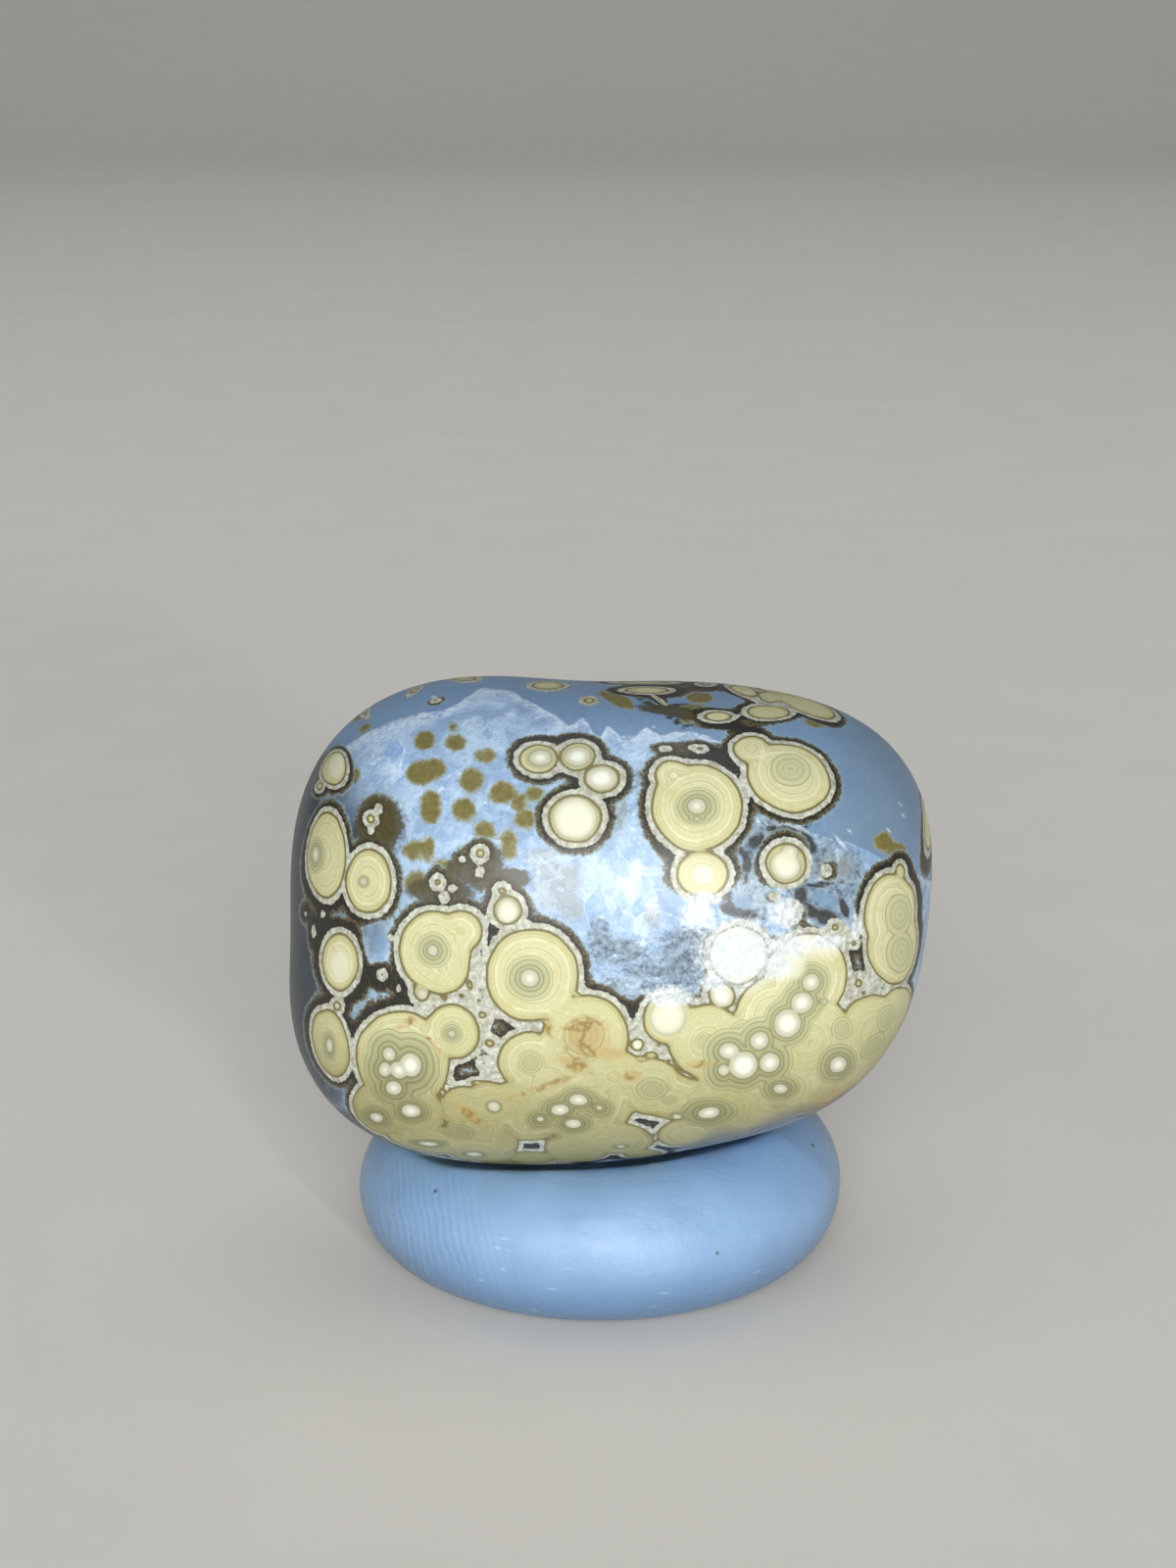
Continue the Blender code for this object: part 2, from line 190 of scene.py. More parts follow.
# Soft stains and clouds, given like the orbs.
STAINS = {
    # fillings that are nearly white
    "pale": (
        (-15.3, -2.6, 0.7, 1.1), (-15.5, 8.7, 0.6, 0.8), (-1.95, 5.75, 1.3, 1.2), (3.3, -5.5, 1.2, 1.2),
        (7.3, -2, 2.6, 2.6), (12, -1.3, 2.2, 1), (10.2, -2.6, 1, 1), (10, 3.2, 0.8, 0.8),
        (5.3, 2.6, 0.7, 0.6), (-5.8, 0.4, 0.5, 0.6), (1.6, -7.1, 0.6, 0.6),
    ),
    # sugary white crystals in the blue; the patch at 5 across and the small streaks at the right-hand edge
    # are partly a painted highlight and painted glints
    "white_crystal_and_painted_glint": (
        (1.55, 3, 0.5, 0.9), (2.4, 0.7, 0.7, 1), (1.4, 10.3, 0.3, 0.25), (1.1, 1.7, 0.45, 1),
        (5, 0.3, 1.3, 1.1), (-10.6, 11.6, 0.5, 0.2), (-9, 11.9, 0.4, 0.2), (-6.9, 12.9, 0.5, 0.2),
        (-13.8, 11.7, 0.2, 0.2), (16.45, 6.5, 0.3, 0.12, -40), (16.6, 5.9, 0.3, 0.12, -40),
        (15.8, 5, 0.35, 0.12, -40), (13.6, 5, 0.35, 0.12, -40), (-10, 12.6, 0.3, 0.15),
        (0.9, 10.3, 0.4, 0.2), (13.15, 4.3, 0.9, 0.15, -50), (2.3, 11, 0.5, 0.12, -40),
        (-13.9, 11.9, 0.2, 0.2),
    ),
    # grey-brown smudges
    "smudge": (
        (-2.9, 1.9, 1.6, 1.6), (-3.8, 3.4, 1.2, 0.7), (-2.1, 0.6, 0.8, 0.8), (-3.2, 5, 0.4, 1.6),
        (0.4, 6.2, 0.7, 1.4), (12.7, 2.9, 1.3, 0.9), (9.9, 5, 1.5, 0.5), (11.6, 0.3, 0.8, 0.4),
        (2.4, 0.3, 0.5, 0.9),
    ),
    # dark speckled slate in the blue
    "slate": (
        (3.6, -3.4, 2.4, 1.3), (1.5, -4.2, 1.7, 1), (4.6, -1.6, 1.5, 1), (0.6, -1.8, 1.1, 0.6),
        (9.5, 5.6, 2.4, 0.7), (11.9, 3.2, 1.5, 1.2), (11.6, 0.8, 1.8, 1.3), (8, 4.8, 1, 1.1),
        (13.4, 2.2, 1, 1.5), (14.1, -0.6, 0.6, 1), (8.2, 1.4, 1, 1.4), (-0.6, -1.2, 0.5, 1.2),
    ),
    # where the black halos are wide and run together; the three stains at the far left also stand for
    # painted shade along the left-hand edge
    "soot_and_edge_shade": (
        (-17.9, 2.1, 1.4, 2.2), (-17.9, -2.3, 1.4, 2.2), (-17.7, -6.8, 1.4, 2.2), (-15.7, -0.5, 1.6, 0.6),
        (-12.3, -5.3, 1.7, 0.7), (6.2, 9.2, 1, 0.5), (3.2, 12.5, 2, 0.4), (9.4, 12.4, 2, 0.5),
        (-13.4, -3.4, 0.9, 0.9), (-6.5, -3.2, 0.4, 1), (-14.2, -4.2, 1.2, 0.8), (18.4, 1, 0.6, 4),
        (2, -5.2, 0.9, 0.5), (-11, -4.4, 0.9, 0.5), (-2.9, 10, 1.8, 0.5), (-1.2, 7.4, 0.7, 0.4),
        (3, 4.2, 0.5, 0.7), (7.2, 6.6, 0.3, 1.2), (12.3, 11.3, 0.7, 0.3, -20), (7, 10.9, 2.2, 0.25),
        (2.4, 13, 2.6, 0.35), (4.2, 11.9, 1.6, 0.25), (7.3, 12.2, 1, 0.3), (5.4, 13, 1.2, 0.3),
        (0.9, -13.3, 2, 0.5), (-1.9, -13.9, 1.5, 0.4), (-9.3, -13.5, 1.2, 0.4), (-4.5, -12.8, 1, 0.5),
    ),
    # dark arcs and blots of their own
    "ink": (
        (6.45, 1.7, 0.35, 0.9, 20), (6.8, 0.6, 0.6, 0.35, -30), (7.7, 0.3, 0.7, 0.28),
        (7.75, 3, 0.3, 1.1, -8), (8.3, 4.4, 0.6, 0.35, 45), (9.8, 5.0, 1, 0.3, -5),
        (11.25, 4.3, 0.35, 0.7, 35), (10.8, 1.3, 0.35, 0.7, -10), (11.3, 0.5, 0.6, 0.35, -35),
        (12.2, 0.1, 0.8, 0.4, -20), (13.3, 0.6, 0.25, 0.6, 20), (11.9, 2.0, 0.8, 0.15, 5),
        (9.35, 6.0, 0.5, 0.2), (11.2, 5.7, 0.3, 0.5, -20), (6.9, 5, 0.3, 0.6, -25), (7.1, 3.9, 0.3, 0.5),
        (1.6, 12.65, 0.3, 0.25, -35), (2.4, 12.15, 0.6, 0.14, -32), (3.6, 11.3, 0.8, 0.12, -35),
        (4.9, 11, 0.7, 0.12, -12), (4.1, 12.1, 0.9, 0.12),
    ),
    # where there is no halo at all
    "clear": (
        (5, 0.2, 2.2, 1), (7.3, -0.2, 1.8, 0.9), (4.2, -2.5, 1.2, 1.4), (9.6, -0.1, 1.2, 0.9),
        (10.2, 1, 1.2, 0.9), (12.6, 0, 1.2, 0.8), (3.4, -3.9, 1.6, 0.9), (5.5, 1, 2, 0.8),
        (-8.2, 13.7, 1.5, 0.6), (-3.5, 13.3, 1.5, 0.8), (-1.25, 12.45, 1, 0.7), (-11.1, 13, 0.9, 0.7),
        (-13.9, 11.9, 0.9, 0.9), (11.6, 3.2, 0.8, 1.2), (10, 1.6, 1.2, 0.6),
    ),
    # where rims fill the gaps between orbs
    "floor": (
        (14.4, -3.9, 0.8, 0.8), (-7.3, -3, 0.4, 0.6), (-9.2, -4.5, 0.9, 0.5), (-7.3, -5.6, 0.6, 0.9),
        (2.3, -7.5, 1.4, 0.7), (13.2, -0.9, 0.7, 0.5), (-6.9, -8.3, 0.4, 0.5), (6.7, -3.9, 0.7, 0.5),
        (9.1, 12.6, 0.8, 0.5),
    ),
    # the dark grey-blue of the left-hand edge: painted shade and painted dark reflection where the light
    # falls off round that end, over stone that is darker there too
    "edge_shade_and_dark_stone": (
        (-18.4, 3, 2.2, 8), (-18.4, -3.5, 2, 6), (-17.4, -8, 1.8, 4.4, 20), (-14.8, -12.8, 2.6, 0.8, -30),
        (-17.3, 8.5, 1.3, 2.2, -30),
    ),
    # the grey chalcedony that edges the mass underneath
    "ash": (
        (5.6, -13.2, 3, 0.35, 6), (9.6, -12.4, 3.4, 0.35, 16), (12.8, -11.3, 2, 0.2, 28),
    ),
    # specks of white over rims and fillings alike: partly the stone's own frosting, partly a painted
    # highlight where a lamp's glare whitens the right of the face
    "white_specks_and_painted_glare": (
        (7.3, -1.9, 2.5, 2.1), (10.2, -1.5, 1.6, 0.9), (5, 0.1, 1.1, 0.9), (12.3, -1.3, 1.4, 0.5),
        (5.4, 1.2, 1.1, 0.4), (3.4, -4.4, 1.6, 0.7), (9.9, 0.4, 1.1, 0.9), (5.9, -3.6, 0.9, 0.6),
        (14, -0.4, 0.4, 0.8), (9.3, -2.6, 1.2, 1),
    ),
    # dark brown stain round the pale pebbles
    "umber": (
        (-13.1, 5.4, 1.5, 1.7), (-9.6, 1.7, 2, 0.8), (-7.2, 3.1, 1.2, 1.4), (-8.5, 2.9, 0.8, 0.6),
        (-5.5, 2.3, 1, 0.6), (4.2, 9.6, 1.5, 0.5), (3.5, 11.8, 2, 0.35, -10),
    ),
    # bright icy crystal
    "ice": (
        (1.2, 2.5, 1.5, 2), (-0.6, -0.8, 0.7, 2.6), (-1.2, 1.8, 0.6, 2.4), (1.6, -0.6, 0.8, 1.8),
        (-10, 12, 1.6, 0.5), (-6.5, 12.5, 1.4, 0.5), (-12, 9, 1, 1.6), (-1.4, 4, 1, 0.6),
    ),
    # the greyer blue of the right-hand end
    "right": (
        (16, 8, 4, 5), (14.5, 5, 3, 3),
    ),
    # clear blue windows in the dark
    "window": (
        (-13.1, -1.3, 0.65, 1.05), (12.25, 1.15, 1, 0.5, -25), (6.6, 12.35, 1, 0.3),
        (3.5, 12.15, 0.8, 0.3, -15), (7.5, 1, 0.7, 0.55), (8.1, 3.9, 0.2, 0.9, -30),
    ),
    # rusty staining along cracks
    "rust": (
        (-1.4, -6.7, 1.5, 1.4), (-0.4, -7.5, 1.4, 0.5, -8), (-2, -8.2, 1.2, 0.4, -20),
        (1.3, -8.9, 0.6, 0.4), (-3.3, -9.3, 1.6, 0.25, 22), (-5.2, -10, 0.8, 0.15, 22),
        (5.1, -8.25, 0.9, 0.25), (-3.5, -6, 0.25, 0.8, 15), (12.4, -10.4, 1.6, 0.6, 35),
        (-10.1, -6.9, 0.16, 1.3, 38), (-11.6, -5.9, 0.9, 0.25, 30), (-7.9, -11.1, 0.3, 1.2, 50),
    ),
}
STAIN_SPREAD = 0.9  # how quickly a stain fades out: less is softer

# How far the notches where two outlines meet are rounded off, in millimetres.
ORB_ROUNDING = 0.07
EYE_ROUNDING = 0.05
ZONE_ROUNDING = 0.06
MOSS_ROUNDING = 0.15
TINT_BLEND = 0.3  # over what width one orb's tint turns into the next one's

# Waver of all outlines: how large its waves are and how far they reach, in millimetres.
WAVER = ((1.8, 0.09), (0.7, 0.045))
WAVER_SEED = 7

SMALL_ORB = 0.7  # orbs under this radius, in millimetres, have their faces cut finer
FINE_MARGIN = 0.15

# The edge between the clear crystal below and the dull blue band above it: (across, up) from
# left to right.
BAND_EDGE = (
    (-18.2, 7.7), (-15.7, 9.3), (-13.7, 10.5), (-11.8, 11.3), (-9.85, 11.7), (-8.5, 12.3), (-7.35, 13),
    (-6.25, 13.1), (-5.25, 12.65), (-4, 12), (-2.65, 11.2), (-2.3, 10.9), (-1.35, 11.55), (-1.2, 10.75),
    (-0.55, 10.35), (0.2, 11.35), (0.45, 10.1), (1.1, 10.1), (2.1, 10.9), (2.8, 10.3), (3.75, 10.7),
    (5.4, 10.4), (6.8, 9.9), (9.85, 6), (11.5, 4.8), (13.7, 4.2), (15.7, 3.2), (18.2, 2.1),
)

# On the sides that are turned away from the camera that edge wanders this far, in millimetres, in
# waves of this size.
BAND_WANDER = 7.0
BAND_WANDER_SIZE = 5.0

# The sides that are turned away from the camera get orbs of the same kinds, strewn by chance.
SEED = 7
TINT_SEED = 3
HIDDEN_TRIES = 2600
HIDDEN_MARGIN = 0.7  # how far past its own radius an orb's middle lies from what is seen
STONE_RADIUS = 15  # roughly, in millimetres
ORB_RADII = (0.8, 3.2, 1.6)  # least, most and usual, in millimetres
HIDDEN_FADE = 0.2  # how steeply the stone turns away before the front's stains have died out
STAIN_FACING = -0.15
MASS_TOP = 18.0  # below this height, in millimetres, the strewn orbs crowd into one mass
MASS_WANDER = 2.2  # and that height wanders so far, in waves of this size
MASS_WANDER_SIZE = 7
MASS_CROWDING = 0.72  # how near two orbs' middles may come there, as a share of their radii's sum
LOOSE_CROWDING = 0.9
LOOSE_CHANCE = 0.16
MOSS_CHANCE = 0.10
HEART_CHANCE = 0.25  # how many of the strewn orbs have a green heart in place of an eye
BIG_ORB = 2.3  # orbs over this radius may have several eyes
MANY_EYES_CHANCE = 0.45
HIDDEN_STAINS = {  # how many of each, and how wide they are
    "ice": (5, 2.8), "slate": (5, 2.4), "smudge": (4, 1.6), "soot_and_edge_shade": (9, 1.6), "umber": (4, 1.3),
    "ink": (8, 0.5), "window": (4, 0.8), "floor": (8, 0.9), "rust": (4, 1.4), "white_crystal_and_painted_glint": (10, 0.3),
    "pale": (6, 1.2),
}


# The camera, the floor and the lights


def add_camera():
    """A camera in front of the stone's broad face, a little above it, aimed just over its middle."""
    back = Vector((0, -math.cos(SIGHT_HEIGHT), math.sin(SIGHT_HEIGHT)))
    place = STONE_MIDDLE + back * SIGHT_DISTANCE
    to_stone = (-back).to_track_quat("-Z", "Y").to_matrix()
    aim = STONE_MIDDLE + to_stone @ Vector((AIM_ACROSS, AIM_UP, 0))
    lens = bpy.data.cameras.new("camera")
    lens.lens = LENS
    lens.sensor_width = SENSOR
    lens.clip_start = 5 * MM
    lens.clip_end = 20
    camera = bpy.data.objects.new("camera", lens)
    camera.location = place
    camera.rotation_euler = (aim - place).to_track_quat("-Z", "Y").to_euler()
    bpy.context.scene.collection.objects.link(camera)
    bpy.context.scene.camera = camera
    bpy.context.view_layer.update()
    return camera


def add_soft_light(name, place, side, power, colour, spread=180):
    """A square lamp, side long, that shines on the stone's middle in a cone spread degrees wide."""
    lamp = bpy.data.lights.new(name, "AREA")
    lamp.size = side
    lamp.spread = math.radians(spread)
    lamp.energy = power
    lamp.color = linear(colour)
    light = bpy.data.objects.new(name, lamp)
    light.location = place
    light.rotation_euler = (STONE_MIDDLE - light.location).to_track_quat("-Z", "Y").to_euler()
    bpy.context.scene.collection.objects.link(light)


def add_floor():
    """A pale round floor whose edge sweeps up into a wall, so that no horizon shows."""
    bpy.ops.object.select_all(action="DESELECT")
    bpy.ops.mesh.primitive_circle_add(
        vertices=96, radius=FLOOR_RADIUS, fill_type="NGON", location=(0, 0, 0))
    floor = bpy.context.object
    floor.name = "floor"
    bpy.ops.object.mode_set(mode="EDIT")
    bpy.ops.mesh.select_mode(type="FACE")
    bpy.ops.mesh.select_all(action="SELECT")
    bpy.ops.mesh.region_to_loop()
    bpy.ops.mesh.extrude_edges_move(TRANSFORM_OT_translate={"value": (0, 0, WALL_HEIGHT)})
    bpy.ops.mesh.select_mode(type="FACE")
    bpy.ops.mesh.select_all(action="DESELECT")
    bpy.ops.object.mode_set(mode="OBJECT")
    for face in floor.data.polygons:  # the round one
        face.select = len(face.vertices) > 4
    bpy.ops.object.mode_set(mode="EDIT")
    bpy.ops.mesh.region_to_loop()
    bpy.ops.mesh.bevel(offset=WALL_SWEEP, segments=24, affect="EDGES")
    bpy.ops.mesh.select_mode(type="FACE")
    bpy.ops.mesh.select_all(action="SELECT")
    bpy.ops.mesh.normals_make_consistent(inside=True)
    bpy.ops.object.mode_set(mode="OBJECT")
    floor.data.shade_smooth()
    floor.data.materials.append(pale_floor())


def add_studio():
    add_floor()
    add_soft_light("key", Vector((0.00, -1.58, 0.56)), 1.15, 3.80, "#fffdfa", spread=45)
    add_soft_light("glow", Vector((0.61, -1.51, 0.31)), 0.07, 0.39, "#ffffff", spread=45)
    add_soft_light("fill", Vector((-1.08, -1.22, 0.51)), 1.08, 3.38, "#f2f6ff")
    add_soft_light("top", Vector((0.07, 0.18, 1.75)), 1.44, 6.75, "#f2f6ff")
    world = bpy.data.worlds.new("studio")
    world.use_nodes = True
    sky = world.node_tree.nodes["Background"]
    sky.inputs["Color"].default_value = (*linear("#d6dde6"), 1)
    sky.inputs["Strength"].default_value = 0.12
    bpy.context.scene.world = world
    bpy.context.scene.view_settings.view_transform = "Standard"


# Colours and nodes


def linear(code):
    """A hex colour as the three linear numbers that a shader or a lamp wants."""
    parts = [int(code[at:at + 2], 16) / 255 for at in (1, 3, 5)]
    return tuple(
        part / 12.92 if part <= 0.04045 else ((part + 0.055) / 1.055) ** 2.4 for part in parts
    )


def add(tree, kind, feeds=(), out=0, stops=(), **settings):
    """Adds one node with its settings and links, and returns the output that is asked for.

    feeds says what goes into its sockets, from the first on or by name or number: other outputs,
    numbers or hex colours. stops are a colour ramp's places and hex colours.
    """
    node = tree.nodes.new("ShaderNode" + kind)
    for name, value in settings.items():
        setattr(node, name, value)
    for socket, value in feeds.items() if isinstance(feeds, dict) else enumerate(feeds):
        if isinstance(value, bpy.types.NodeSocket):
            tree.links.new(value, node.inputs[socket])
        else:
            value = (*linear(value), 1) if isinstance(value, str) else value
            node.inputs[socket].default_value = value
    for at, (place, code) in enumerate(stops):
        step = node.color_ramp.elements[at] if at < 2 else node.color_ramp.elements.new(place)
        step.position = place
        step.color = (*linear(code), 1)
    return node.outputs[out]


def laid_over(tree, colour, layers):
    """The colour with each layer's own colour laid over it in turn, at the layer's strength."""
    for strength, over in layers:
        colour = add(tree, "Mix", {0: strength, 6: colour, 7: over}, out=2, data_type="RGBA")
    return colour


def new_material(name):
    """A material with its node tree, its shader node and its place in millimetres."""
    material = bpy.data.materials.new(name)
    material.use_nodes = True
    tree = material.node_tree
    place = add(tree, "TexCoord", out=3)
    place = add(tree, "VectorMath", {0: place, 3: 1 / MM}, operation="SCALE")
    return material, tree, tree.nodes["Principled BSDF"], place


def pale_floor():
    """Matt painted board: no gloss, and a faint unevenness from the roller."""
    material, tree, surface, place = new_material("matt_painted_board")
    grain = add(tree, "TexNoise", {"Vector": place, "Scale": 0.08, "Detail": 3})
    paint = add(tree, "Mix", {0: grain, 6: "#e6e2da", 7: "#ece9e2"}, out=2, data_type="RGBA")
    tree.links.new(paint, surface.inputs["Base Color"])
    surface.inputs["Roughness"].default_value = 0.8
    surface.inputs["Specular IOR Level"].default_value = 0.1
    return material


# The mesh tools


def take_up(thing):
    """Makes thing the one selected and active object."""
    bpy.ops.object.select_all(action="DESELECT")
    thing.select_set(True)
    bpy.context.view_layer.objects.active = thing


def apply_modifier(thing, kind, **settings):
    take_up(thing)
    step = thing.modifiers.new(kind.lower(), kind)
    for name, value in settings.items():
        setattr(step, name, value)
    bpy.ops.object.modifier_apply(modifier=step.name)


def merged_copy(node, name):
    """A copy of a CAD node's solid, at the origin, with its loose triangles joined up."""
    copy = node.copy()
    copy.data = node.data.copy()
    copy.name = name
    bpy.context.scene.collection.objects.link(copy)
    copy.parent = None
    copy.matrix_world = node.matrix_world
    take_up(copy)
    bpy.ops.object.transform_apply(location=True, rotation=True, scale=True)
    bpy.ops.object.mode_set(mode="EDIT")
    bpy.ops.mesh.select_all(action="SELECT")
    bpy.ops.mesh.remove_doubles(threshold=0.001 * MM)
    bpy.ops.mesh.normals_make_consistent(inside=False)
    bpy.ops.object.mode_set(mode="OBJECT")
    copy.data.materials.clear()
    return copy


def keep_inside(thing, node):
    """Pulls back any point that the smoothing has pushed out of the node's box."""
    low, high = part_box(node)
    thing.data.vertices.foreach_set("co", np.clip(points_of(thing), low, high).ravel())
    thing.data.update()


def points_of(thing):
    """The places of all its points, in metres, one row each."""
    places = np.empty(len(thing.data.vertices) * 3)
    thing.data.vertices.foreach_get("co", places)
    return places.reshape(-1, 3)


# The stone's skin


def add_stone():
    """The pebble's polished skin: a finely cut cube blown up to a ball and drawn onto the solid."""
    low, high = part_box("pebble")
    bpy.ops.object.select_all(action="DESELECT")
    bpy.ops.mesh.primitive_cube_add(size=2, location=(0, 0, 0))
    stone = bpy.context.object
    stone.name = "agate_pebble"
    bpy.ops.object.mode_set(mode="EDIT")
    bpy.ops.mesh.select_all(action="SELECT")
    bpy.ops.mesh.subdivide(number_cuts=STONE_CUTS)
    bpy.ops.transform.tosphere(value=1)
    bpy.ops.transform.resize(value=(high - low) / 2, center_override=(0, 0, 0))
    bpy.ops.transform.translate(value=(low + high) / 2)
    bpy.ops.object.mode_set(mode="OBJECT")
    guide = merged_copy(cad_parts["pebble"], "pebble_guide")
    apply_modifier(stone, "SHRINKWRAP", target=guide, wrap_method="NEAREST_SURFACEPOINT")
    apply_modifier(stone, "SMOOTH", factor=0.5, iterations=STONE_EASING)
    bpy.data.objects.remove(guide)
    keep_inside(stone, "pebble")
    stone.data.shade_smooth()
    return stone


def cut_finer(stone, patches, reach):
    """Cuts the faces on and round small patches finer, so that they come out round."""
    middles = np.empty(len(stone.data.polygons) * 3)
    stone.data.polygons.foreach_get("center", middles)
    middles = middles.reshape(-1, 3) / MM
    picked = np.zeros(len(middles), dtype=bool)
    for patch in patches:
        picked |= patch.off(middles) < reach + patch.spare
    take_up(stone)
    bpy.ops.object.mode_set(mode="EDIT")
    bpy.ops.mesh.select_mode(type="FACE")
    bpy.ops.mesh.select_all(action="DESELECT")
    bpy.ops.object.mode_set(mode="OBJECT")
    stone.data.polygons.foreach_set("select", picked)
    bpy.ops.object.mode_set(mode="EDIT")
    bpy.ops.mesh.subdivide(number_cuts=2)
    bpy.ops.object.mode_set(mode="OBJECT")
    stone.data.shade_smooth()


# Where things lie on the stone


class Patch:
    """A round or oval patch on the stone. All its lengths are in millimetres."""

    def __init__(self, middle, reach, gauge, spare=0.0):
        self.middle = middle
        self.reach = reach  # how far its edge lies from its middle, on the whole
        self.gauge = gauge  # turns a step from its middle into a share of the way to its edge
        self.spare = spare  # how wide the ringed zone round it is

    def off(self, points):
        """How far each point lies outside the patch."""
        return (np.linalg.norm((points - self.middle) @ self.gauge.T, axis=1) - 1) * self.reach


def round_patch(middle, radius, spare=0.0):
    return Patch(middle, radius, np.identity(3) / radius, spare)


class Sight:
    """Puts what is seen from the camera onto the stone."""

    least_facing = 0.3

    def __init__(self, camera, stone):
        turned = camera.matrix_world.to_3x3()
        self.stone = stone
        self.eye = camera.matrix_world.translation.copy()
        self.right, self.up, self.back = (
            turned @ Vector(axis) for axis in ((1, 0, 0), (0, 1, 0), (0, 0, 1))
        )
        self.depth = (self.eye - STONE_MIDDLE).dot(self.back)

    def patch(self, across, up, wide, high, turn=0.0, spare=0.0):
        """The patch that is seen at that place with that half width and half height."""
        target = STONE_MIDDLE + (self.right * across + self.up * up) * MM
        met, place, outward, _ = self.stone.ray_cast(self.eye, (target - self.eye).normalized())
        if not met:
            _, place, outward, _ = self.stone.closest_point_on_mesh(target)
        farness = (self.eye - place).dot(self.back) / self.depth
        wide, high = wide * farness, high * farness
        facing = max(outward.dot((self.eye - place).normalized()), self.least_facing)
        reach = math.sqrt(wide * high / facing)
        angle = math.radians(turn)
        along = self.right * math.cos(angle) + self.up * math.sin(angle)
        upward = self.up * math.cos(angle) - self.right * math.sin(angle)
        flat = [axis - outward * outward.dot(axis) for axis in (along, upward)]
        gauge = np.array([flat[0] / wide, flat[1] / high, outward / reach])
        return Patch(np.array(place) / MM, reach, gauge, spare)

    def hiddenness(self):
        """For each of the stone's points, 0 where the camera sees it, going up to 1 round the back."""
        facings = [
            point.normal.dot((self.eye - point.co).normalized()) for point in self.stone.data.vertices
        ]
        return np.clip(-np.array(facings) / HIDDEN_FADE, 0, 1)

    def seen_places(self, points):
        """Across and up, as seen, of points in millimetres."""
        steps = points - np.array(self.eye) / MM
        farness = -steps @ np.array(self.back) / (self.depth / MM)
        middle = (STONE_MIDDLE - self.eye) / MM
        across = steps @ np.array(self.right) / farness - middle.dot(self.right)
        up = steps @ np.array(self.up) / farness - middle.dot(self.up)
        return across, up


def strewn_patches(stone, sight):
    """Orbs, eyes, green hearts and moss strewn over the sides that the camera can't see."""
    draw = random.Random(SEED)
    count = len(stone.data.vertices)
    orbs, eyes, hearts, moss = [], [], [], []
    for _ in range(HIDDEN_TRIES):
        point = stone.data.vertices[draw.randrange(count)]
        radius = draw.triangular(*ORB_RADII)
        loose_draw, kind_draw = draw.random(), draw.random()
        facing = point.normal.dot((sight.eye - point.co).normalized())
        if facing > -(radius + HIDDEN_MARGIN) / STONE_RADIUS:
            continue
        middle = np.array(point.co) / MM
        wander = MASS_WANDER * noise.noise(Vector(middle) / MASS_WANDER_SIZE)
        crowded = middle[2] + wander < MASS_TOP
        if not crowded and loose_draw > LOOSE_CHANCE:
            if kind_draw < MOSS_CHANCE:
                size = 0.35 + 0.35 * draw.random()
                if all(patch.off(middle[None])[0] > size + 0.2 for patch in orbs + moss):
                    moss.append(round_patch(middle, size))
            continue
        crowding = MASS_CROWDING if crowded else LOOSE_CROWDING
        if any(
            np.linalg.norm(patch.middle - middle) < crowding * (patch.reach + radius) for patch in orbs
        ):
            continue
        orbs.append(round_patch(middle, radius))
        if kind_draw > 1 - HEART_CHANCE:
            hearts.append(round_patch(middle, draw.uniform(0.3, 0.42) * radius))
            continue
        many = radius > BIG_ORB and kind_draw < MANY_EYES_CHANCE
        for _ in range(draw.choice((3, 4, 5)) if many else 1):
            size = draw.uniform(0.10, 0.22) * radius
            offset = Vector((draw.uniform(-1, 1), draw.uniform(-1, 1), draw.uniform(-1, 1)))
            offset -= point.normal * point.normal.dot(offset)
            offset *= (0.42 if many else 0.08) * radius
            eyes.append(round_patch(middle + np.array(offset), size, radius * draw.uniform(0.12, 0.26)))
    return orbs, eyes, hearts, moss


def strewn_stains(stone, sight):
    """Stains of each kind strewn over the sides that the camera can't see."""
    draw = random.Random(SEED)
    hidden = [
        point for point in stone.data.vertices
        if point.normal.dot((sight.eye - point.co).normalized()) < STAIN_FACING
    ]
    return {
        name: [
            round_patch(np.array(draw.choice(hidden).co) / MM, size * draw.uniform(0.6, 1.4))
            for _ in range(many)
        ]
        for name, (many, size) in HIDDEN_STAINS.items()
    }


def rough_places(points):
    """The points moved about a little, so that round things come out uneven."""
    noise.seed_set(WAVER_SEED)  # noise_vector is seeded by the clock until this is called
    moved = points.copy()
    for size, reach in WAVER:
        moved += [reach * noise.noise_vector(Vector(point) / size) for point in points]
    return moved


def off_nearest(patches, points, softness, with_spare=False):
    """How far each point lies outside all of the patches, with the notches between them rounded."""
    total = np.full(len(points), 1e-30)
    for patch in patches:
        away = patch.off(points) - (patch.spare if with_spare else 0)
        total += np.exp(np.clip(-away / softness, -60, 60))
    return -softness * np.log(total)


def shared_tint(patches, points, seed):
    """A chance number from 0 to 1 for each patch, which blends over from one to the next."""
    draw = random.Random(seed)
    total, weight = np.zeros(len(points)), np.full(len(points), 1e-12)
    for patch in patches:
        share = np.exp(np.clip(-patch.off(points) / TINT_BLEND, -40, 40))
        total += share * draw.random()
        weight += share
    return total / weight


def stained(patches, points):
    """How deep in a soft stain each point lies: 1 at its middle, and fading out round it."""
    deepest = np.zeros(len(points))
    for patch in patches:
        away = (patch.off(points) / patch.reach + 1) * STAIN_SPREAD
        deepest = np.maximum(deepest, np.exp(-away ** 2))
    return deepest


def wear(stone, name, values):
    """Stores one number for each point of the stone's mesh, for its material to read."""
    layer = stone.data.attributes.new(name, "FLOAT", "POINT")
    layer.data.foreach_set("value", np.asarray(values, dtype=np.float32))


